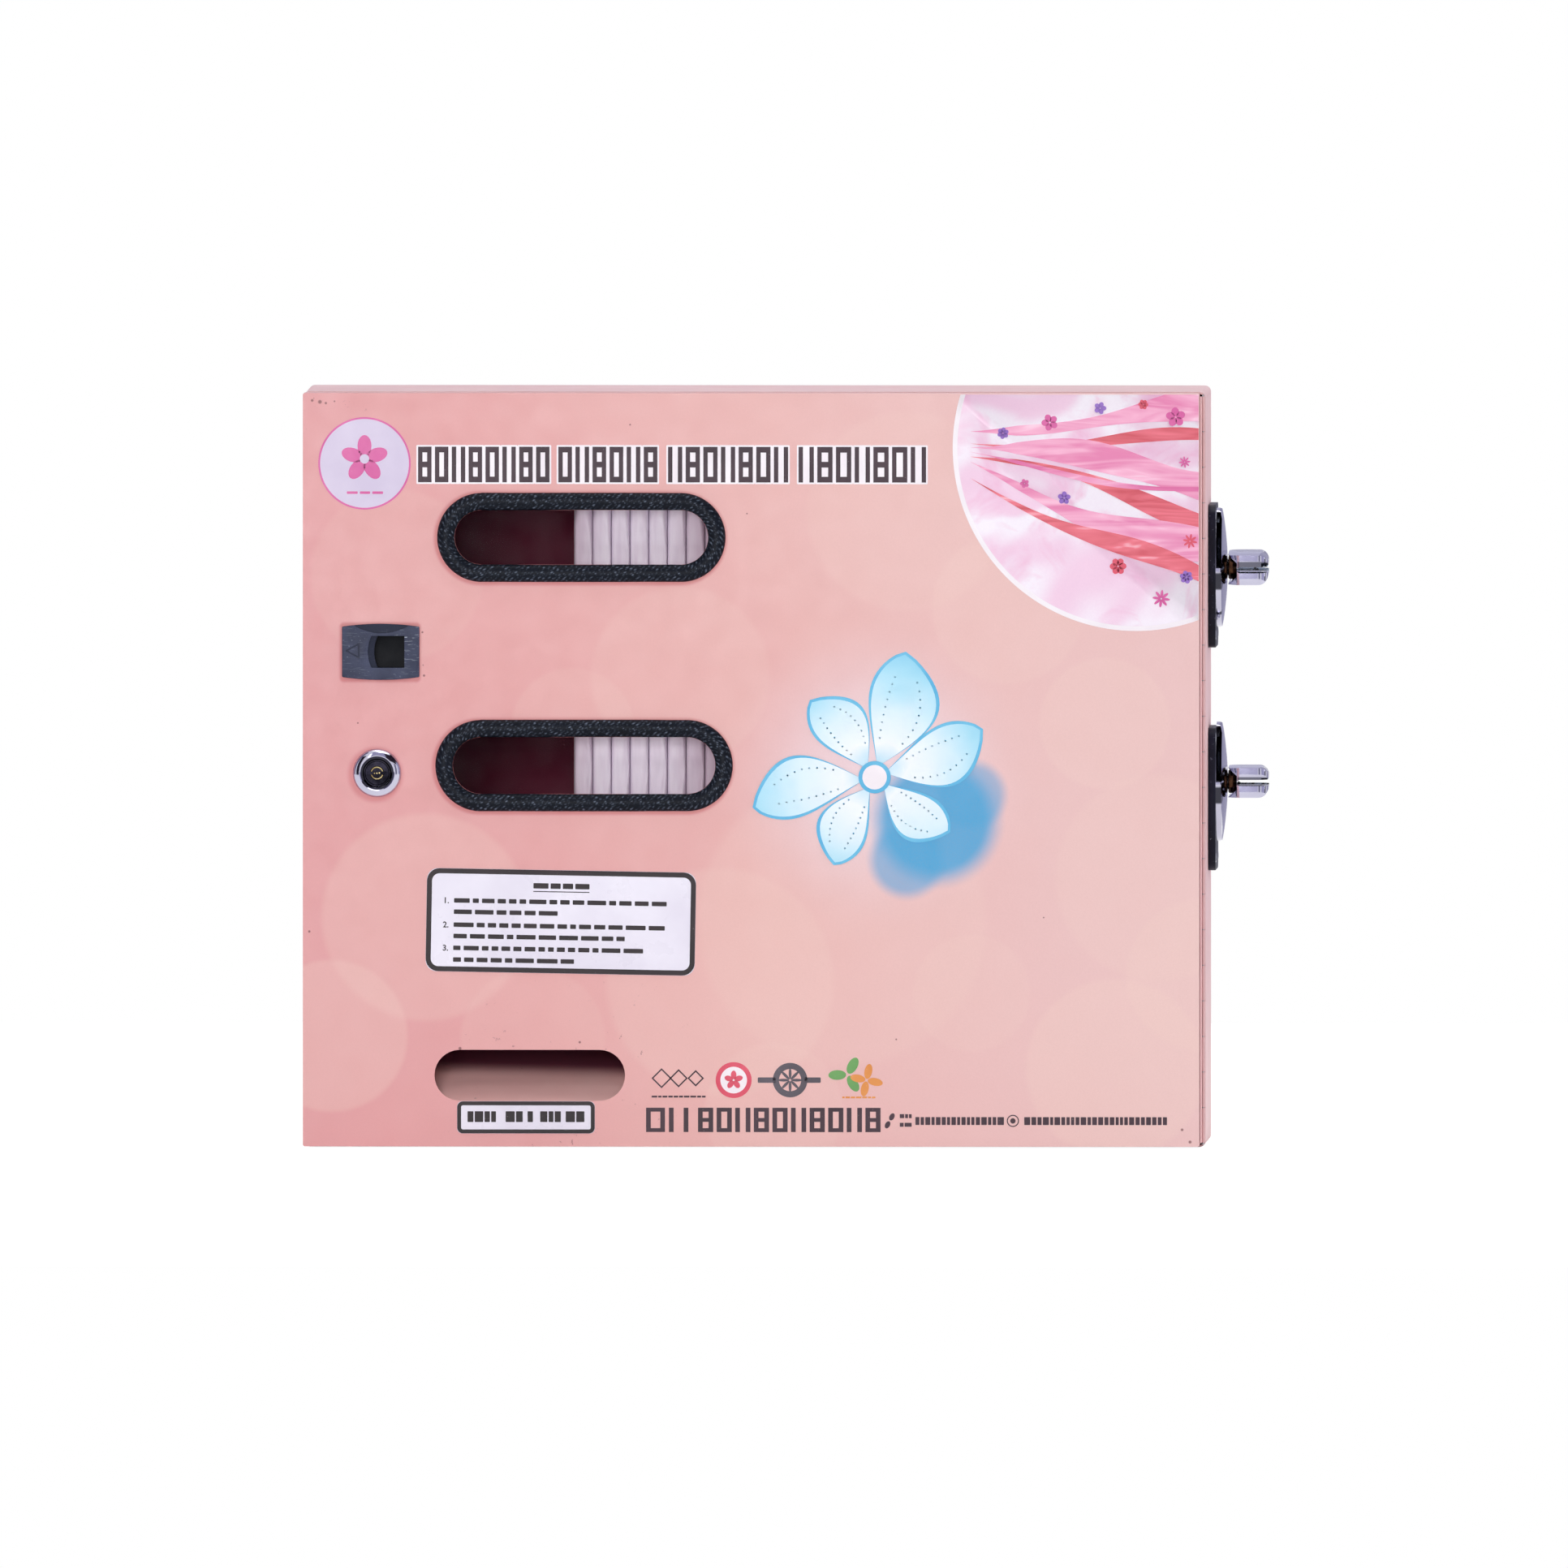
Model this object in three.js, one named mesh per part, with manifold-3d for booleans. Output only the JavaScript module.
// A wall-hung sanitary napkin vending machine: a sheet-steel box with a side-hinged door,
// two rows of upright packs, and on its right side one coin mechanism for each row.
// Millimetres, +X right, +Y to the back, +Z up; the origin is the centre of the cabinet's underside.

import * as THREE from "three";
import { mergeVertices } from "three/addons/utils/BufferGeometryUtils.js";
import Module from "manifold-3d";

const wasm = await Module();
wasm.setup();

// Driving dimensions
const overrun = 3; // how far a cutting solid runs past the face it cuts
const seam = 0.02; // faces that are welded or rest on each other
const gap = 0.3; // fitted pieces that can be taken apart
const roundSteps = 24; // sides of a full circle on the larger round pieces
const arcSteps = 8; // sides of a half circle in an outline
const smallSteps = 12; // sides of a full circle on shafts, pins and small bores
const knuckleSteps = 8; // sides of a hinge knuckle
const cornerSteps = 3; // sides of a rounded corner
const hexSteps = 6; // flats of a nut

const cabinet = { width: 501.7, height: 420, sheet: 1.2, lip: 10, corner: 3.5 };
const door = { depth: 14.5, sheet: 1.2, edgeGap: 0.5, corner: 1.2 };
const hinge = {
  barrel: 1.4,
  pin: 0.6,
  leaf: 0.8,
  leafWidth: 12,
  knuckle: 18.4,
  knuckleGap: 0.5,
  endMargin: 2,
  pinProud: 1,
};

// Places on the door are measured from its lower left corner, as seen from the front.
const windows = {
  upper: { x: 154.9, aboveShelf: 52.6, width: 141, height: 30.3 },
  lower: { x: 156.4, aboveShelf: 44.7, width: 146, height: 31.6 },
};
const trim = { width: 9.7, proud: 3.4, edge: 1.1, lining: 0.8, bevelShare: 1 / 3 };
const pane = { thickness: 2, margin: 13 };
const outlet = { x: 126.2, z: 40.1, width: 106, height: 28.3 };
// The instruction plate lies between the outlet and the lower window, at this share of the free height.
const instructionPlate = {
  x: 143.5, lowShare: 0.565, width: 149.8, height: 57.5, corner: 6.3, thickness: 0.5, tilt: -1,
};
const outletPlate = { x: 124.1, z: 16.7, width: 76.7, height: 18, corner: 3, thickness: 0.5, tilt: 0 };
const pull = {
  x: 43.3,
  z: 275.6,
  width: 43,
  height: 28,
  bow: 1.6,
  proud: 1.8,
  bodyWidth: 35,
  bodyHeight: 24,
  bodyDepth: 11,
  pocketLeft: -5.1,
  pocketWidth: 18.3,
  pocketHeight: 17.7,
  pocketBow: 2,
  ledge: 3.5,
  ledgeDepth: 3.4,
  wall: 1.6,
  undercut: 5.2,
};
const lock = {
  x: 41.3,
  z: 208.2,
  bezel: 13.4,
  proud: 3.4,
  rim: 1.6,
  dish: 10.3,
  dishDepth: 1.4,
  barrel: 9,
  length: 19,
  plug: 7.7,
  keyhole: 3.1,
  keySlotLength: 11,
  keySlotWidth: 1.8,
  keyDepth: 6,
  nutFlats: 12,
  nutThickness: 4,
  camLength: 37,
  camWidth: 14,
  camThickness: 2.2,
  tail: 2.8,
  screw: 4.2,
  screwHeight: 2.4,
};

const shelf = {
  sheet: 1.2,
  lipHeight: 14,
  backHeight: 20,
  end: 149.8,
  frontGap: 1.5,
  belowTop: 133.3,
  rowPitch: 119,
};
const pack = { pitch: 10.4, depth: 74, height: 86, groove: 1.6, neck: 1.8, frontGap: 0.6 };

// The coin mechanism: its axis runs along X through the cabinet's right side.
const mechanism = { axisAboveShelf: 33.3, behindPacks: 13.5, backClearance: 7.8 };
const sidePlate = { height: 79.5, width: 68, thickness: 4.2, corner: 8, upperRise: 35.5, lowerRise: 30.6 };
const dome = {
  radius: 33.2,
  rim: 3,
  rise: 3.05,
  wall: 1.1,
  slotHeight: 31,
  slotWidth: 2.1,
  slotFromBase: 0.25,
  arcShares: [1, 0.7, 0.35],
};
const coin = {
  radius: 12.2,
  orbit: 18.5,
  discRadius: 31,
  discThickness: 1.5,
  insertAngle: 135,
  dropAngle: 190,
};
const shaft = { radius: 4.5, screw: 5, journal: 3.5, journalLength: 6, clearance: 0.5 };
const collar = { radius: 6.6, length: 4.5 };
const handle = {
  start: 0.5,
  length: 22.1,
  thickness: 16.5,
  span: 42,
  endRound: 5,
  planRound: 7,
  groove: 3.4,
  grooveDepth: 15.5,
  hollow: 5,
  hollowEnd: 3.8,
  clearance: 0.6,
  upperTurn: 2.5,
  lowerTurn: 0,
};
const bracket = { sheet: 3, reach: 44, frontFromAxis: 20, backFromAxis: 33, height: 66, flange: 18 };
const ratchet = { radius: 16, root: 13.2, thickness: 5, teeth: 14, faceShare: 0.08, fromPlate: 4 };
const pawl = {
  pivotY: 18,
  pivotZ: 20,
  pin: 2,
  boss: 4.2,
  width: 4.4,
  head: 3.6,
  headLength: 1,
  springLength: 3,
};
const guideRod = { radius: 3, behindAxis: 22 };
const endBearing = { sheet: 3, base: 16, above: 12, front: 8, margin: 7, fromShelfEnd: 0.8 };
const pusher = { plate: 3, nutRadius: 10, nutLength: 10, margin: 3, wing: 30, clearance: 0.4 };

const chute = { wallX: 66, sheet: 1.2, flange: 12, belowTop: 20, dividerX: 182.5 };
const ramp = { sheet: 1.2, lowZ: 24.2, belowShelf: 70.5, nose: 1.3, flange: 14, skirt: 6 };
const coinBox = { width: 100, depth: 112, wall: 1, rightGap: 0.8, underDuct: 5.8, tab: 12, tabWidth: 40 };
const coinDuct = { reach: 13.4, wall: 1, belowShelf: 55.5, above: 15, deflector: 1.6 };
const keyhole = { radius: 5, neck: 2.6, rise: 11, fromTop: 36, fromSide: 30.85 };

// Derived places
const packInset = cabinet.sheet + shelf.frontGap + shelf.sheet + pack.frontGap;
const axisInset = packInset + pack.depth + mechanism.behindPacks;
const cabinetDepth = axisInset + bracket.backFromAxis + mechanism.backClearance + cabinet.sheet;
const left = -cabinet.width / 2;
const right = cabinet.width / 2;
const front = -cabinetDepth / 2;
const back = cabinetDepth / 2;
const innerLeft = left + cabinet.sheet;
const innerRight = right - cabinet.sheet;
const innerBack = back - cabinet.sheet;
const doorBack = front - gap - hinge.leaf - gap;
const doorFront = doorBack - door.depth;
const doorInside = doorFront + door.sheet;
const hingeX = right - hinge.barrel;
const hingeY = front - gap - hinge.barrel;
const doorRight = hingeX - hinge.barrel - gap;
const axisY = front + axisInset;
const shelfEnd = left + shelf.end;
const shelfFront = front + cabinet.sheet + shelf.frontGap;
const bracketLeft = innerRight - bracket.reach;
const wheelLeft = bracketLeft + bracket.sheet + ratchet.fromPlate;
const bearingLeft = shelfEnd + endBearing.fromShelfEnd;
const feedRoom = bracketLeft - shelfEnd - pusher.plate - pusher.nutLength - 3 * gap;
const packCount = Math.floor(feedRoom / pack.pitch);
const plateRight = right + seam + sidePlate.thickness;
const domeBase = plateRight + seam;
const domeTop = domeBase + dome.rim + dome.rise;
const handleStart = domeTop + handle.start;
const packFront = front + packInset;
const dropY = coin.orbit * Math.cos(THREE.MathUtils.degToRad(coin.dropAngle));
const dropZ = coin.orbit * Math.sin(THREE.MathUtils.degToRad(coin.dropAngle));
const ductFront = axisY + dropY - coin.radius - coinDuct.wall;
const ductBack = axisY + dropY + coin.radius + coinDuct.wall;
const upperShelfTop = cabinet.height - shelf.belowTop;
const lowerShelfTop = upperShelfTop - shelf.rowPitch;
const underShelf = lowerShelfTop - shelf.sheet - seam;
const rampBackZ = underShelf - ramp.belowShelf;
const ductFoot = underShelf - coinDuct.belowShelf;
const rows = [
  { name: "upper", shelfTop: upperShelfTop, plateRise: sidePlate.upperRise, turn: handle.upperTurn },
  { name: "lower", shelfTop: lowerShelfTop, plateRise: sidePlate.lowerRise, turn: handle.lowerTurn },
];
const axes = rows.map((row) => [axisY, row.shelfTop + mechanism.axisAboveShelf]);
windows.upper.z = upperShelfTop + windows.upper.aboveShelf;
windows.lower.z = lowerShelfTop + windows.lower.aboveShelf;
const outletTop = outlet.z + outlet.height / 2;
const trimBottom = windows.lower.z - windows.lower.height / 2 - trim.width;
const plateRoom = trimBottom - outletTop - instructionPlate.height;
instructionPlate.z = outletTop + plateRoom * instructionPlate.lowShare + instructionPlate.height / 2;

const finishes = {
  pink: { color: 0xe8b4b4, roughness: 0.45, metalness: 0 },
  chrome: { color: 0xd8dade, roughness: 0.12, metalness: 1 },
  steel: { color: 0xa9abad, roughness: 0.4, metalness: 1 },
  brass: { color: 0x9c7240, roughness: 0.4, metalness: 1 },
  black: { color: 0x1b1d22, roughness: 0.55, metalness: 0 },
  slate: { color: 0x4d566a, roughness: 0.55, metalness: 0 },
  clear: { color: 0xf2f4f6, roughness: 0.05, metalness: 0, opacity: 0.3, transparent: true },
  label: { color: 0xf0edf6, roughness: 0.4, metalness: 0 },
  wrap: { color: 0xe6dbe6, roughness: 0.6, metalness: 0 },
};

const part = new THREE.Group();
const doorGroup = new THREE.Group();
part.add(doorGroup);

// Solids and booleans
const at = (x, y) => new THREE.Vector2(x, y);

function solidOf(geometry) {
  const bare = geometry.clone();
  bare.deleteAttribute("normal");
  bare.deleteAttribute("uv");
  const merged = mergeVertices(bare);
  return new wasm.Manifold(
    new wasm.Mesh({
      numProp: 3,
      vertProperties: merged.attributes.position.array,
      triVerts: new Uint32Array(merged.index.array),
    }),
  );
}

function geometryOf(solid) {
  const mesh = solid.getMesh();
  const flat = new THREE.BufferGeometry();
  flat.setAttribute("position", new THREE.BufferAttribute(mesh.vertProperties, mesh.numProp));
  flat.setIndex(new THREE.BufferAttribute(mesh.triVerts, 1));
  const geometry = flat.toNonIndexed();
  geometry.computeVertexNormals();
  return geometry;
}

function place(name, solid, finish, group = part) {
  const mesh = new THREE.Mesh(geometryOf(solid), new THREE.MeshStandardMaterial(finishes[finish]));
  mesh.name = name;
  group.add(mesh);
  return mesh;
}

const join = (first, ...others) => others.reduce((sum, other) => sum.add(other), first);
const cut = (first, ...others) => others.reduce((rest, other) => rest.subtract(other), first);

// A box from its low corner to its high corner.
function block(low, high) {
  const size = high.map((value, i) => value - low[i]);
  const geometry = new THREE.BoxGeometry(...size);
  return solidOf(geometry.translate(...low.map((value, i) => value + size[i] / 2)));
}

function extruded(shape, depth, steps) {
  return new THREE.ExtrudeGeometry(shape, { depth, bevelEnabled: false, curveSegments: steps });
}

// Prisms: an outline drawn in the plane across the axis, from one place on the axis to another.
function alongX(shape, from, to, steps = arcSteps) {
  const turn = new THREE.Matrix4().makeBasis(
    new THREE.Vector3(0, 1, 0),
    new THREE.Vector3(0, 0, 1),
    new THREE.Vector3(1, 0, 0),
  );
  return solidOf(extruded(shape, to - from, steps).applyMatrix4(turn).translate(from, 0, 0));
}

function alongY(shape, from, to, steps = arcSteps) {
  return solidOf(extruded(shape, to - from, steps).rotateX(Math.PI / 2).translate(0, to, 0));
}

function alongZ(shape, from, to, steps = arcSteps) {
  return solidOf(extruded(shape, to - from, steps).translate(0, 0, from));
}

// Turned pieces: profile points are (radius, place along the axis).
function turnedX(points, y, z, steps = roundSteps) {
  const turn = new THREE.Matrix4().makeBasis(
    new THREE.Vector3(0, 1, 0),
    new THREE.Vector3(1, 0, 0),
    new THREE.Vector3(0, 0, -1),
  );
  return solidOf(new THREE.LatheGeometry(points, steps).applyMatrix4(turn).translate(0, y, z));
}

function turnedY(points, x, z, steps = roundSteps) {
  return solidOf(new THREE.LatheGeometry(points, steps).translate(x, 0, z));
}

function turnedZ(points, x, y, steps = knuckleSteps) {
  return solidOf(new THREE.LatheGeometry(points, steps).rotateX(Math.PI / 2).translate(x, y, 0));
}

const rod = (radius, from, to) => [at(0, from), at(radius, from), at(radius, to), at(0, to)];
const tube = (bore, radius, from, to) => [
  at(bore, from), at(radius, from), at(radius, to), at(bore, to), at(bore, from),
];

// Outlines
const polygon = (points) => new THREE.Shape(points.map(([x, y]) => at(x, y)));

function rectangle(x0, y0, x1, y1) {
  return polygon([[x0, y0], [x1, y0], [x1, y1], [x0, y1]]);
}

function roundedRectangle(x, y, width, height, radius) {
  const shape = new THREE.Shape();
  const w = width / 2 - radius;
  const h = height / 2 - radius;
  shape.absarc(x + w, y - h, radius, -Math.PI / 2, 0);
  shape.absarc(x + w, y + h, radius, 0, Math.PI / 2);
  shape.absarc(x - w, y + h, radius, Math.PI / 2, Math.PI);
  shape.absarc(x - w, y - h, radius, Math.PI, 1.5 * Math.PI);
  return shape;
}

function stadium(x, y, width, height) {
  const shape = new THREE.Shape();
  const reach = (width - height) / 2;
  shape.absarc(x + reach, y, height / 2, -Math.PI / 2, Math.PI / 2);
  shape.absarc(x - reach, y, height / 2, Math.PI / 2, 1.5 * Math.PI);
  return shape;
}

// A rectangle whose top and bottom edges bow outwards.
function barrelOutline(x, y, width, height, bow) {
  const shape = new THREE.Shape();
  shape.moveTo(x - width / 2, y - height / 2);
  shape.quadraticCurveTo(x, y - height / 2 - 2 * bow, x + width / 2, y - height / 2);
  shape.lineTo(x + width / 2, y + height / 2);
  shape.quadraticCurveTo(x, y + height / 2 + 2 * bow, x - width / 2, y + height / 2);
  return shape;
}

function circle(x, y, radius) {
  const shape = new THREE.Shape();
  shape.absarc(x, y, radius, 0, 2 * Math.PI);
  return shape;
}

const onDoor = (feature) => [left + feature.x, feature.z];
const radians = (degrees) => THREE.MathUtils.degToRad(degrees);

// Cabinet panels
function addCabinet() {
  const { height, sheet, lip, corner } = cabinet;
  const lowSide = corner + seam;
  const highSide = height - corner - seam;
  for (const [name, outer, inner, lipEdge] of [
    ["left_side", left, innerLeft, left + lip],
    ["right_side", right, innerRight, right - lip],
  ]) {
    const wall = block(
      [Math.min(outer, inner), front, lowSide],
      [Math.max(outer, inner), back, highSide],
    );
    const strip = block(
      [Math.min(outer, lipEdge), front, lowSide],
      [Math.max(outer, lipEdge), front + sheet, highSide],
    );
    const panel = join(wall, strip);
    const holes = name === "right_side" ? mechanismHoles(axes, innerRight, right) : [];
    place(name, cut(panel, ...holes), "pink");
  }
  place("top_panel", capPanel(height, -1), "pink");
  place("bottom_panel", capPanel(0, 1), "pink");

  const backWidth = cabinet.width - 2 * (sheet + seam);
  const backHeight = height - 2 * (sheet + seam);
  const backOutline = roundedRectangle(0, height / 2, backWidth, backHeight, corner - sheet);
  const backSheet = alongY(backOutline, innerBack, back, cornerSteps);
  place("back_panel", cut(backSheet, ...[-1, 1].map(keyholeCut)), "pink");
}

// The top or bottom sheet: its ends turn round the cabinet's corners and its front edge is a lip.
function capPanel(face, inward) {
  const { sheet, lip, corner } = cabinet;
  const bend = corner - sheet;
  const centre = face + inward * corner;
  const quarter = (-inward * Math.PI) / 2;
  const clockwise = inward > 0;
  const shape = new THREE.Shape();
  shape.absarc(right - corner, centre, corner, 0, quarter, clockwise);
  shape.absarc(left + corner, centre, corner, quarter, 2 * quarter, clockwise);
  shape.absarc(left + corner, centre, bend, 2 * quarter, quarter, !clockwise);
  shape.absarc(right - corner, centre, bend, quarter, 0, !clockwise);
  const inner = face + inward * sheet;
  const edge = face + inward * lip;
  const strip = block(
    [left + lip + seam, front, Math.min(inner, edge)],
    [right - lip - seam, front + sheet, Math.max(inner, edge)],
  );
  return join(alongY(shape, front, back, cornerSteps), strip);
}

function keyholeCut(sideSign) {
  const x = sideSign * (right - keyhole.fromSide);
  const z = cabinet.height - keyhole.fromTop;
  const through = (shape) => alongY(shape, innerBack - overrun, back + overrun, smallSteps);
  const neck = rectangle(x - keyhole.neck, z, x + keyhole.neck, z + keyhole.rise);
  return join(through(circle(x, z, keyhole.radius)), through(neck));
}

// Shaft and coin holes about each mechanism's axis, through whatever lies between two places on X.
function mechanismHoles(axes, from, to) {
  const low = from - overrun;
  const high = to + overrun;
  return axes.flatMap(([y, z]) => [
    alongX(circle(y, z, shaft.radius + shaft.clearance), low, high, smallSteps),
    alongX(circle(y + dropY, z + dropZ, coin.radius), low, high, smallSteps),
  ]);
}

// Shelves, chute and coin box
function addShelf(row, group) {
  const { sheet, lipHeight, backHeight } = shelf;
  const top = -mechanism.axisAboveShelf;
  const farRight = innerRight - seam;
  const frontEdge = shelfFront - axisY;
  const backEdge = innerBack - seam - axisY;
  const floor = block([shelfEnd, frontEdge, top - sheet], [farRight, backEdge, top]);
  const frontLip = block(
    [shelfEnd, frontEdge, top - sheet],
    [right - cabinet.lip - gap, frontEdge + sheet, top + lipHeight],
  );
  const backFlange = block(
    [shelfEnd, backEdge - sheet, top - sheet],
    [farRight, backEdge, top + backHeight],
  );
  const ductNotch = block(
    [innerRight - coinDuct.reach - gap, ductFront - gap - axisY, top - sheet - overrun],
    [right, ductBack + gap - axisY, top + overrun],
  );
  place(`${row.name}_shelf`, cut(join(floor, frontLip, backFlange), ductNotch), "pink", group);
}

function rampTop(y) {
  const noseY = doorInside + ramp.nose;
  const share = (y - noseY) / (innerBack - seam - noseY);
  return ramp.lowZ + ramp.sheet + share * (rampBackZ - ramp.lowZ);
}

function addChute() {
  const { sheet, flange } = chute;
  const top = cabinet.height - chute.belowTop;
  const wallLeft = left + chute.wallX;
  const dividerLeft = left + chute.dividerX;
  const wallBack = innerBack - seam;
  const wall = (x, height, flangeSide) => {
    const outline = polygon([
      [shelfFront, rampTop(shelfFront) - ramp.skirt],
      [wallBack, rampTop(wallBack) - ramp.skirt],
      [wallBack, height],
      [shelfFront, height],
    ]);
    const edge = flangeSide < 0 ? x + sheet : x;
    const strip = block(
      [Math.min(edge, edge + flangeSide * flange), wallBack - sheet, rampBackZ],
      [Math.max(edge, edge + flangeSide * flange), wallBack, height],
    );
    return join(alongX(outline, x, x + sheet), strip);
  };
  place("chute_wall", wall(wallLeft, top, -1), "pink");
  place("chute_divider", wall(dividerLeft, underShelf, 1), "pink");

  const noseY = doorInside + ramp.nose;
  const flangeFront = wallBack - ramp.sheet;
  const slope = polygon([
    [noseY, ramp.lowZ],
    [wallBack, rampBackZ],
    [wallBack, rampBackZ + ramp.flange],
    [flangeFront, rampBackZ + ramp.flange],
    [flangeFront, rampTop(flangeFront)],
    [noseY, ramp.lowZ + ramp.sheet],
  ]);
  place("outlet_ramp", alongX(slope, wallLeft + sheet + seam, dividerLeft - seam), "pink");
}

function addCoinBox() {
  const { width, wall, rightGap, tab, tabWidth } = coinBox;
  const boxRight = right - cabinet.lip - rightGap;
  const boxLeft = boxRight - width;
  const boxFront = front + cabinet.sheet + gap;
  const boxBack = boxFront + coinBox.depth;
  const low = cabinet.sheet + seam;
  const high = ductFoot - coinBox.underDuct;
  const shell = block([boxLeft, boxFront, low], [boxRight, boxBack, high]);
  const hollow = block(
    [boxLeft + wall, boxFront + wall, low + wall],
    [boxRight - wall, boxBack - wall, high + overrun],
  );
  const middle = (boxLeft + boxRight) / 2;
  const pullTab = block(
    [middle - tabWidth / 2, boxFront, high - seam],
    [middle + tabWidth / 2, boxFront + wall, high + tab],
  );
  place("coin_box", join(cut(shell, hollow), pullTab), "steel");
}

function addCoinDuct() {
  const { reach, wall, above, deflector } = coinDuct;
  const top = axes[0][1] + dropZ + above;
  const ductRight = innerRight - seam;
  const ductLeft = innerRight - reach;
  const channel = cut(
    block([ductLeft, ductFront, ductFoot + reach], [ductRight, ductBack, top]),
    block(
      [ductLeft + wall, ductFront + wall, ductFoot],
      [ductRight + overrun, ductBack - wall, top + overrun],
    ),
  );
  const slide = polygon([
    [ductLeft, ductFoot],
    [ductRight, ductFoot + reach],
    [ductRight, ductFoot + reach + deflector],
    [ductLeft, ductFoot + deflector],
  ]);
  const cheeks = [ductFront, ductBack - wall].map((y) =>
    block([ductLeft, y, ductFoot + deflector / 2], [ductRight, y + wall, ductFoot + reach + wall]),
  );
  place("coin_duct", join(channel, alongY(slide, ductFront, ductBack), ...cheeks), "steel");
}

// Door and what it carries
function addDoor() {
  const { sheet, edgeGap, corner } = door;
  const low = edgeGap;
  const high = cabinet.height - edgeGap;
  const middleX = (left + doorRight) / 2;
  const middleZ = (low + high) / 2;
  const width = doorRight - left;
  const height = high - low;
  const tray = cut(
    alongY(roundedRectangle(middleX, middleZ, width, height, corner), doorFront, doorBack, cornerSteps),
    block([left + sheet, doorInside, low + sheet], [doorRight - sheet, doorBack + overrun, high - sheet]),
  );
  const through = (shape) => alongY(shape, doorFront - overrun, doorInside + overrun);
  const holes = Object.values(windows).map((w) => through(stadium(...onDoor(w), w.width, w.height)));
  holes.push(through(stadium(...onDoor(outlet), outlet.width, outlet.height)));
  holes.push(through(circle(...onDoor(lock), lock.barrel + gap)));
  const [pullX, pullZ] = onDoor(pull);
  const bodyHalf = pull.bodyWidth / 2 + gap;
  const bodyRise = pull.bodyHeight / 2 + gap;
  holes.push(through(rectangle(pullX - bodyHalf, pullZ - bodyRise, pullX + bodyHalf, pullZ + bodyRise)));
  place("door_panel", cut(tray, ...holes), "pink", doorGroup);
}

function addWindow(name) {
  const { x, z, width, height } = windows[name];
  const centre = onDoor({ x, z });
  const { width: band, proud, edge, lining, bevelShare } = trim;
  const ring = (grow, from, to) => alongY(stadium(...centre, width + 2 * grow, height + 2 * grow), from, to);
  const face = doorFront - seam;
  const bead = join(
    ring(band, face - proud + edge, face),
    ring(band - edge, face - proud, face - proud + edge),
  );
  const liner = ring(-gap, face - seam, doorInside - seam);
  const mouth = ring(-gap - lining, face - proud - overrun, doorInside + overrun);
  const bevel = ring(edge - gap - lining, face - proud - overrun, face - proud + edge * bevelShare);
  place(`${name}_window_trim`, cut(join(bead, liner), mouth, bevel), "black", doorGroup);

  const outline = roundedRectangle(...centre, width + 2 * pane.margin, height + 2 * pane.margin, edge);
  const paneFront = doorInside + seam;
  const sheet = alongY(outline, paneFront, paneFront + pane.thickness, cornerSteps);
  place(`${name}_window_pane`, sheet, "clear", doorGroup);
}

function addPlate(name, plate) {
  const [x, z] = onDoor(plate);
  const outline = roundedRectangle(0, 0, plate.width, plate.height, plate.corner);
  const sheet = place(name, alongY(outline, -plate.thickness, 0, cornerSteps), "label", doorGroup);
  sheet.position.set(x, doorFront - seam, z);
  sheet.rotation.y = radians(-plate.tilt);
}

// The flush finger pull: a moulded face, a cup behind it and the ledge that a finger hooks under.
function addFingerPull() {
  const [x, z] = onDoor(pull);
  const face = doorFront - seam;
  const proudFace = face - pull.proud;
  const cupBack = face + pull.bodyDepth;
  const plate = alongY(barrelOutline(x, z, pull.width, pull.height, pull.bow), proudFace, face);
  const body = block(
    [x - pull.bodyWidth / 2, face - seam, z - pull.bodyHeight / 2],
    [x + pull.bodyWidth / 2, cupBack, z + pull.bodyHeight / 2],
  );
  const pocketLeft = x + pull.pocketLeft;
  const pocketRight = pocketLeft + pull.pocketWidth;
  const half = pull.pocketHeight / 2;
  const mouth = (start) => {
    const shape = new THREE.Shape();
    shape.moveTo(start, z - half);
    shape.lineTo(pocketRight, z - half);
    shape.lineTo(pocketRight, z + half);
    shape.lineTo(start, z + half);
    shape.quadraticCurveTo(start - 2 * pull.pocketBow, z, start, z - half);
    return shape;
  };
  const rebate = alongY(mouth(pocketLeft), proudFace - overrun, proudFace + pull.wall);
  const pocket = alongY(mouth(pocketLeft + pull.ledge), proudFace - overrun, cupBack - pull.wall);
  const hook = block(
    [pocketLeft - pull.undercut, face + pull.ledgeDepth, z - half],
    [pocketRight, cupBack - pull.wall, z + half],
  );
  place("finger_pull", cut(join(plate, body), rebate, pocket, hook), "slate", doorGroup);
}

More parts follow.
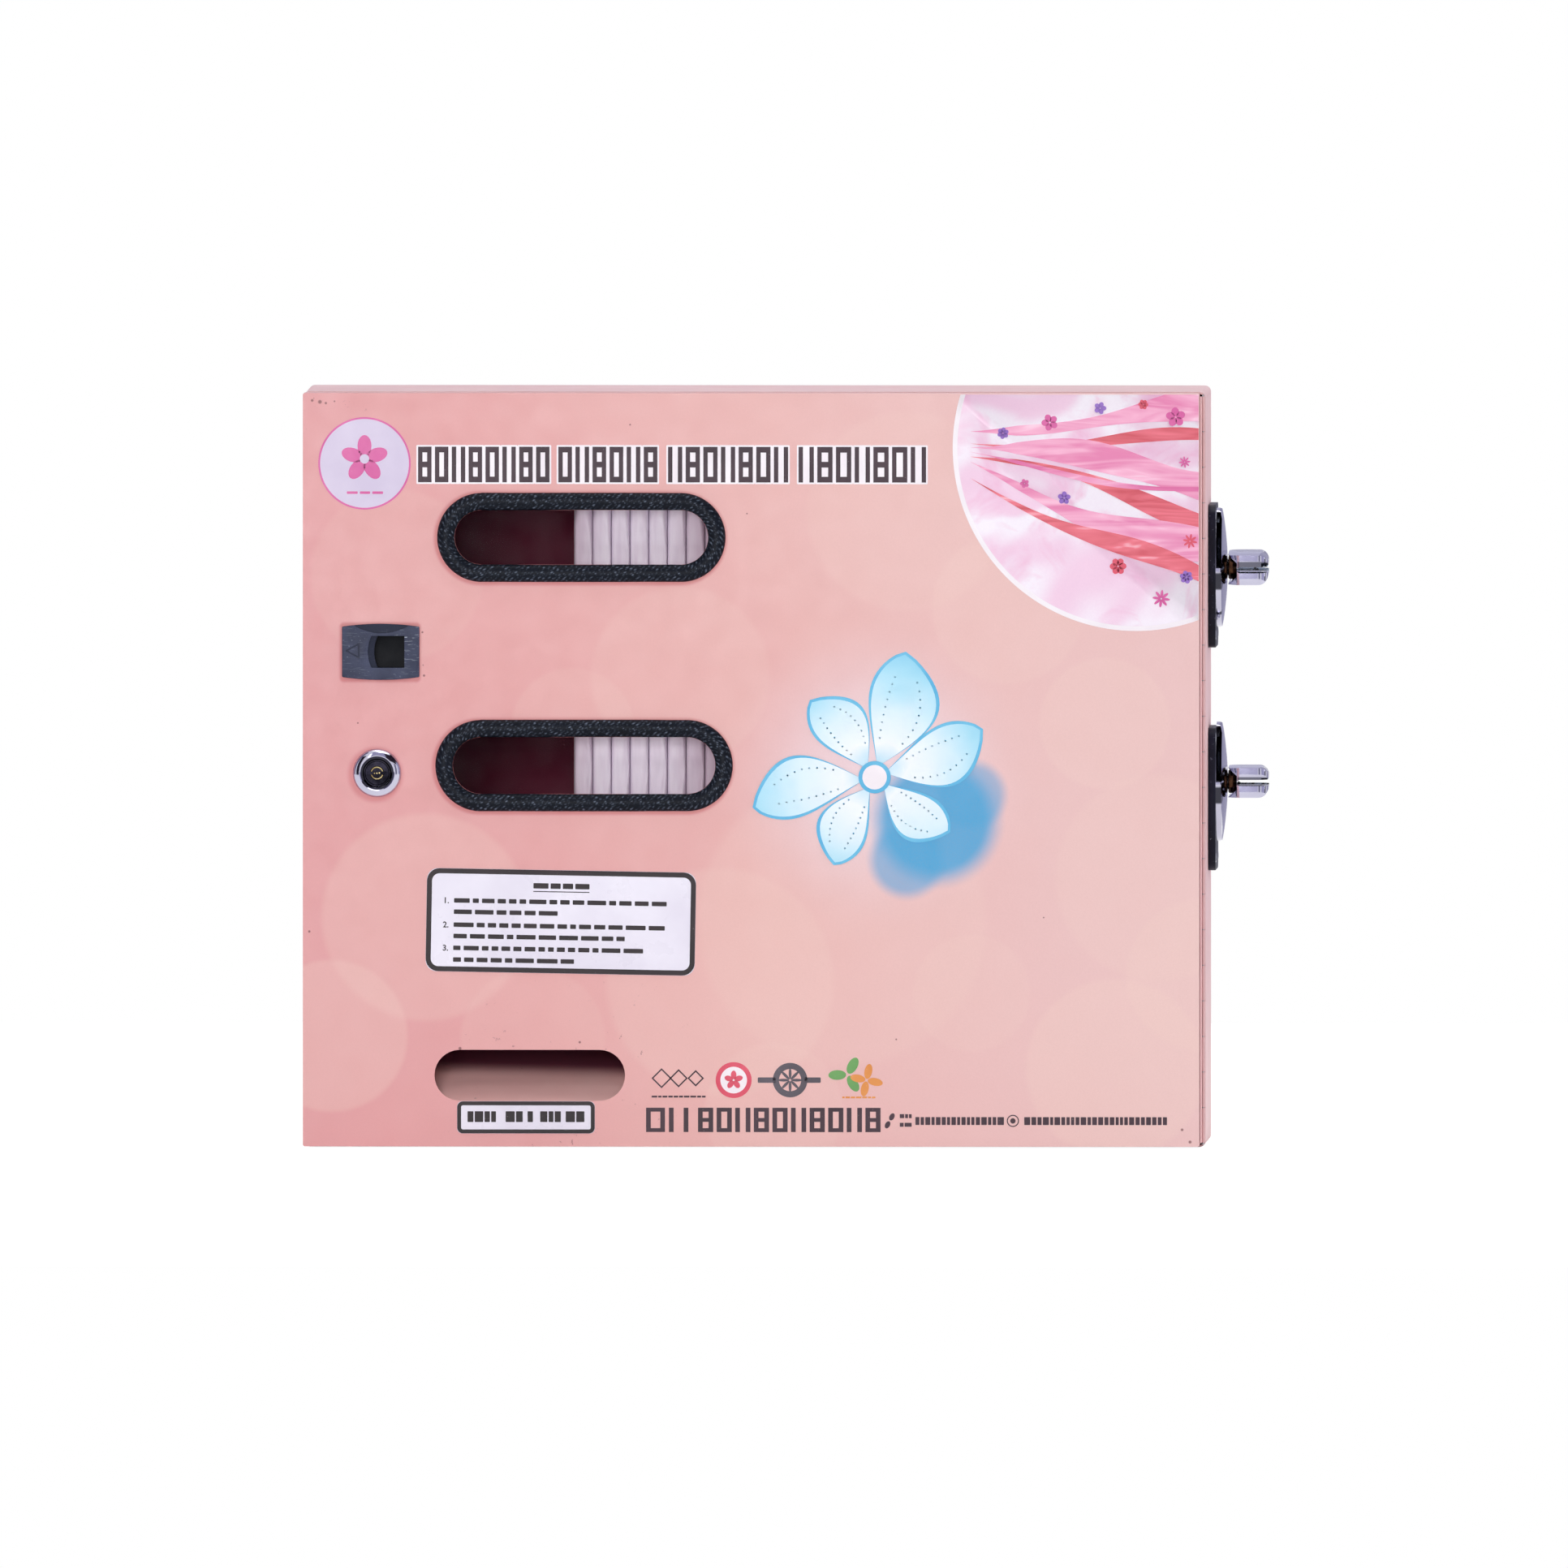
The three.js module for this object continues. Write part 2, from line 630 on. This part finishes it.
function addLock() {
  const [x, z] = onDoor(lock);
  const face = doorFront - seam;
  const tip = face - lock.proud;
  const end = face + lock.length;
  const plugFront = tip + lock.dishDepth;
  const body = turnedY(
    [
      at(lock.plug + gap, plugFront),
      at(lock.dish, tip + lock.dishDepth),
      at(lock.dish, tip),
      at(lock.bezel - lock.rim, tip),
      at(lock.bezel, tip + lock.rim),
      at(lock.bezel, face),
      at(lock.barrel, face),
      at(lock.barrel, end),
      at(lock.plug + gap, end),
      at(lock.plug + gap, plugFront),
    ],
    x,
    z,
  );
  place("lock_body", body, "chrome", doorGroup);

  const nutFront = doorInside + seam;
  const nutBack = nutFront + lock.nutThickness;
  const nut = cut(
    turnedY(rod(lock.nutFlats, nutFront, nutBack), x, z, hexSteps),
    turnedY(rod(lock.barrel + gap, nutFront - overrun, nutBack + overrun), x, z),
  );
  place("lock_nut", nut, "steel", doorGroup);

  const camFront = end + gap;
  const camBack = camFront + lock.camThickness;
  const slotHalf = lock.keySlotLength / 2;
  const slotRise = lock.keySlotWidth / 2;
  const keyBack = plugFront + lock.keyDepth;
  const plug = cut(
    join(
      turnedY(rod(lock.plug, plugFront, end + seam), x, z),
      turnedY(rod(lock.screw, end, camBack), x, z, smallSteps),
    ),
    turnedY(rod(lock.keyhole, tip - overrun, plugFront + lock.keySlotWidth), x, z, smallSteps),
    block([x - slotHalf, tip - overrun, z - slotRise], [x + slotHalf, keyBack, z + slotRise]),
  );
  place("lock_plug", plug, "chrome", doorGroup);

  const camOutline = new THREE.Shape();
  const half = lock.camWidth / 2;
  camOutline.absarc(x, z, half, 0, Math.PI);
  camOutline.lineTo(x - half, z - lock.camLength + lock.tail);
  camOutline.lineTo(x - half + lock.tail, z - lock.camLength);
  camOutline.lineTo(x + half - lock.tail, z - lock.camLength);
  camOutline.lineTo(x + half, z - lock.camLength + lock.tail);
  const cam = cut(
    alongY(camOutline, camFront, camBack),
    alongY(circle(x, z, lock.screw + gap), camFront - overrun, camBack + overrun),
  );
  place("lock_cam", cam, "steel", doorGroup);
  const headFront = camBack + seam;
  const head = turnedY(rod(lock.plug - gap, headFront, headFront + lock.screwHeight), x, z, hexSteps);
  place("lock_cam_screw", head, "steel", doorGroup);
}

// The piano hinge: two leaves whose knuckles take turns along one pin.
function addHinge() {
  const { barrel, pin, leaf, leafWidth, knuckle, knuckleGap, endMargin, pinProud } = hinge;
  const low = door.edgeGap + endMargin;
  const high = cabinet.height - door.edgeGap - endMargin;
  const count = Math.floor((high - low + knuckleGap) / (knuckle + knuckleGap));
  const pitch = (high - low + knuckleGap) / count;
  const reach = barrel + gap;
  const bore = turnedZ(rod(pin + gap, low - overrun, high + overrun), hingeX, hingeY);
  // A leaf keeps every second knuckle and is cut clear of the other leaf's.
  const hingeLeaf = (plate, first) => {
    let leafSolid = plate;
    for (let i = 0; i < count; i += 1) {
      const from = low + i * pitch;
      const to = from + pitch - knuckleGap;
      if (i % 2 === first) leafSolid = leafSolid.add(turnedZ(rod(barrel, from, to), hingeX, hingeY));
      else {
        leafSolid = leafSolid.subtract(
          block(
            [hingeX - reach, hingeY - reach, from - knuckleGap],
            [hingeX + reach, hingeY + reach, to + knuckleGap],
          ),
        );
      }
    }
    return cut(leafSolid, bore);
  };
  const doorPlate = block(
    [hingeX - barrel, hingeY - leafWidth, low],
    [hingeX - barrel + leaf, hingeY, high],
  );
  const cabinetPlate = block(
    [hingeX - leafWidth, hingeY + barrel - leaf, low],
    [hingeX, hingeY + barrel, high],
  );
  place("hinge_leaf_door", hingeLeaf(doorPlate, 0), "pink", doorGroup);
  place("hinge_leaf_cabinet", hingeLeaf(cabinetPlate, 1), "pink");
  const pinSolid = turnedZ(rod(pin, low - pinProud, high + pinProud), hingeX, hingeY);
  place("hinge_pin", pinSolid, "steel");
}

// One row, drawn about its mechanism's axis: coin mechanism, drive, packs and shelf
function addRow(row, index) {
  const group = new THREE.Group();
  group.position.set(0, ...axes[index]);
  part.add(group);
  addShelf(row, group);
  addMechanismOutside(row, group);
  addHandle(row, group);
  addDrive(row.name, group);
  addBracket(row.name, group);
  addPawl(row.name, group);
  addFeed(row.name, group);
}

function addMechanismOutside({ name, plateRise }, group) {
  const plateLeft = right + seam;
  const plateMiddle = plateRise - sidePlate.height / 2;
  const outline = roundedRectangle(0, plateMiddle, sidePlate.width, sidePlate.height, sidePlate.corner);
  const plate = cut(
    alongX(outline, plateLeft, plateRight, cornerSteps),
    ...mechanismHoles([[0, 0]], plateLeft, plateRight),
  );
  place(`${name}_side_plate`, plate, "black", group);

  const { radius, rim, rise, wall, slotHeight, slotWidth, slotFromBase } = dome;
  const shoulder = domeBase + rim;
  const bore = shaft.radius + shaft.clearance;
  const arc = (outer, crest) =>
    dome.arcShares.map((share) =>
      at(outer * share, crest - rise + rise * Math.cos((share * Math.PI) / 2)),
    );
  const profile = [
    at(radius, domeBase),
    ...arc(radius, shoulder + rise),
    at(bore, domeTop),
    at(bore, domeTop - wall),
    ...arc(radius - wall, shoulder + rise - wall).reverse(),
    at(radius - wall, domeBase),
    at(radius, domeBase),
  ];
  const slotLeft = domeBase + slotFromBase;
  const slot = block([slotLeft, -radius - overrun, gap], [slotLeft + slotWidth, -gap, slotHeight]);
  place(`${name}_coin_dome`, cut(turnedX(profile, 0, 0), slot), "chrome", group);

  const discLeft = domeBase + gap;
  const discRight = discLeft + coin.discThickness;
  const notchY = coin.orbit * Math.cos(radians(coin.insertAngle));
  const notchZ = coin.orbit * Math.sin(radians(coin.insertAngle));
  const disc = cut(
    turnedX(tube(shaft.radius + gap, coin.discRadius, discLeft, discRight), 0, 0),
    alongX(circle(notchY, notchZ, coin.radius), discLeft - overrun, discRight + overrun, smallSteps),
    block(
      [discLeft - overrun, -coin.discRadius - overrun, notchZ - coin.radius],
      [discRight + overrun, notchY, notchZ + coin.radius],
    ),
  );
  place(`${name}_coin_disc`, disc, "steel", group);

  const collarLeft = domeTop + gap;
  const collarRight = collarLeft + collar.length;
  const hexagon = turnedX(rod(collar.radius, collarLeft, collarRight), 0, 0, hexSteps);
  const bored = cut(hexagon, boreX(shaft.radius + gap, collarLeft, collarRight));
  place(`${name}_shaft_collar`, bored, "brass", group);
}

// A round bore along X, clear through a piece.
function boreX(radius, from, to, y = 0, z = 0) {
  return turnedX(rod(radius, from - overrun, to + overrun), y, z, smallSteps);
}

// The knob's handle: two cheeks with a groove between them, and a notch where the shaft enters.
function addHandle({ name, turn }, group) {
  const { length, thickness, span, endRound, planRound, groove, grooveDepth, clearance } = handle;
  const end = handleStart + length;
  const half = thickness / 2;
  const hollow = handleStart + handle.hollow;
  const profile = new THREE.Shape();
  profile.moveTo(handleStart, half);
  profile.lineTo(hollow, handle.hollowEnd);
  profile.lineTo(hollow, -handle.hollowEnd);
  profile.lineTo(handleStart, -half);
  profile.absarc(end - endRound, endRound - half, endRound, -Math.PI / 2, 0);
  profile.lineTo(end, -groove / 2);
  profile.lineTo(end - grooveDepth, -groove / 2);
  profile.lineTo(end - grooveDepth, groove / 2);
  profile.lineTo(end, groove / 2);
  profile.absarc(end - endRound, half - endRound, endRound, 0, Math.PI / 2);
  const cheeks = alongY(profile, -span / 2, span / 2, cornerSteps);
  const outline = roundedRectangle(handleStart + length / 2, 0, length, span, planRound);
  const plan = alongZ(outline, -half - overrun, half + overrun, cornerSteps);
  const clearing = turnedX(rod(collar.radius + clearance, handleStart - overrun, hollow), 0, 0, smallSteps);
  const mesh = place(`${name}_handle`, cut(cheeks.intersect(plan), clearing), "chrome", group);
  mesh.rotation.x = radians(turn);
}

function addDrive(name, group) {
  const shaftEnd = handleStart + handle.hollow - gap;
  const screwEnd = bracketLeft - gap;
  const shoulder = bearingLeft + shaft.journalLength;
  const profile = [
    at(0, bearingLeft),
    at(shaft.journal, bearingLeft),
    at(shaft.journal, shoulder),
    at(shaft.screw, shoulder),
    at(shaft.screw, screwEnd),
    at(shaft.radius, screwEnd),
    at(shaft.radius, shaftEnd),
    at(0, shaftEnd),
  ];
  place(`${name}_lead_screw`, turnedX(profile, 0, 0, smallSteps), "steel", group);

  const wheelRight = wheelLeft + ratchet.thickness;
  const step = (2 * Math.PI) / ratchet.teeth;
  const points = [];
  for (let i = 0; i < ratchet.teeth; i += 1) {
    const crest = i * step;
    const foot = crest + step * ratchet.faceShare;
    points.push([ratchet.radius * Math.cos(crest), ratchet.radius * Math.sin(crest)]);
    points.push([ratchet.root * Math.cos(foot), ratchet.root * Math.sin(foot)]);
  }
  const wheel = alongX(polygon(points), wheelLeft, wheelRight);
  const bored = cut(wheel, boreX(shaft.radius + gap, wheelLeft, wheelRight));
  place(`${name}_ratchet_wheel`, bored, "steel", group);
}

// The mechanism's bracket, a bearing plate, a back web and a flange on the cabinet's side,
// the bearing at the screw's far end, and the rod that keeps the pusher upright.
function addBracket(name, group) {
  const { sheet, frontFromAxis, backFromAxis, height } = bracket;
  const low = seam - mechanism.axisAboveShelf;
  const high = low + height;
  const plateEnd = bracketLeft + sheet;
  const sideFace = innerRight - seam;
  const plate = block([bracketLeft, -frontFromAxis, low], [plateEnd, backFromAxis, high]);
  const web = block([bracketLeft, backFromAxis - sheet, low], [sideFace, backFromAxis, high]);
  const flange = block(
    [sideFace - sheet, backFromAxis - bracket.flange, low],
    [sideFace, backFromAxis, high],
  );
  const rodY = guideRod.behindAxis;
  const bores = [
    boreX(shaft.radius + shaft.clearance, bracketLeft, plateEnd),
    boreX(guideRod.radius + gap, bracketLeft, plateEnd, rodY),
    boreX(pawl.pin + gap, bracketLeft, plateEnd, pawl.pivotY, pawl.pivotZ),
  ];
  place(`${name}_bracket`, cut(join(plate, web, flange), ...bores), "steel", group);

  const bearingRight = bearingLeft + endBearing.sheet;
  const bearingBack = rodY + endBearing.margin;
  const upright = block(
    [bearingLeft, -endBearing.front, low],
    [bearingRight, bearingBack, endBearing.above],
  );
  const basePlate = block(
    [bearingLeft, -endBearing.front, low],
    [bearingLeft + endBearing.base, bearingBack, low + endBearing.sheet],
  );
  const bearing = cut(
    join(upright, basePlate),
    boreX(shaft.journal + gap, bearingLeft, bearingRight),
    boreX(guideRod.radius + gap, bearingLeft, bearingRight, rodY),
  );
  place(`${name}_end_bearing`, bearing, "steel", group);
  const guide = turnedX(rod(guideRod.radius, bearingLeft, plateEnd), rodY, 0, smallSteps);
  place(`${name}_guide_rod`, guide, "steel", group);
}

// The pawl keeps the wheel from turning back; its spring is wound round the pin beside it.
function addPawl(name, group) {
  const { pivotY, pivotZ, boss, width } = pawl;
  const pawlRight = wheelLeft + width;
  const springLeft = pawlRight + gap;
  const springRight = springLeft + pawl.springLength;
  const headLeft = springRight + gap;
  const pin = join(
    turnedX(rod(pawl.pin, bracketLeft, headLeft), pivotY, pivotZ, smallSteps),
    turnedX(rod(pawl.head, headLeft, headLeft + pawl.headLength), pivotY, pivotZ, smallSteps),
  );
  place(`${name}_pawl_pin`, pin, "steel", group);
  const spring = turnedX(
    tube(pawl.pin + gap, pawl.head, springLeft, springRight),
    pivotY,
    pivotZ,
    smallSteps,
  );
  place(`${name}_pawl_spring`, spring, "steel", group);

  const noseZ = ratchet.radius + gap;
  const arm = polygon([
    [0, noseZ],
    [boss, noseZ],
    [pivotY, pivotZ - boss],
    [pivotY, pivotZ + boss],
    [0, noseZ + boss],
  ]);
  const body = join(
    alongX(arm, wheelLeft, pawlRight),
    turnedX(rod(boss, wheelLeft, pawlRight), pivotY, pivotZ, smallSteps),
  );
  const bored = cut(body, boreX(pawl.pin + gap, wheelLeft, pawlRight, pivotY, pivotZ));
  place(`${name}_pawl`, bored, "steel", group);
}

// The packs stand side by side as one pleated block, and the pusher's nut rides on the screw.
function addFeed(name, group) {
  const { pitch, depth, height, groove, neck } = pack;
  const first = shelfEnd + gap;
  const low = gap - mechanism.axisAboveShelf;
  const fore = packFront - axisY;
  const points = [[first, fore + groove]];
  for (let i = 0; i < packCount; i += 1) {
    const x = first + i * pitch;
    points.push([x + neck, fore], [x + pitch - neck, fore], [x + pitch, fore + groove]);
  }
  const end = first + packCount * pitch;
  points.push([end, fore + depth], [first, fore + depth]);
  place(`${name}_packs`, alongZ(polygon(points), low, low + height), "wrap", group);

  const plateLeft = end + gap;
  const nutRight = plateLeft + pusher.plate + pusher.nutLength;
  const rodY = guideRod.behindAxis;
  const plate = block(
    [plateLeft, fore, -pusher.wing],
    [plateLeft + pusher.plate, rodY + guideRod.radius + pusher.margin, pusher.wing],
  );
  const solid = cut(
    join(plate, turnedX(rod(pusher.nutRadius, plateLeft, nutRight), 0, 0, smallSteps)),
    boreX(shaft.screw + pusher.clearance, plateLeft, nutRight),
    boreX(guideRod.radius + pusher.clearance, plateLeft, nutRight, rodY),
  );
  place(`${name}_pusher`, solid, "steel", group);
}

addCabinet();
rows.forEach(addRow);
addChute();
addCoinBox();
addCoinDuct();
addDoor();
Object.keys(windows).forEach(addWindow);
addPlate("instruction_plate", instructionPlate);
addPlate("outlet_plate", outletPlate);
addFingerPull();
addLock();
addHinge();

export default part;
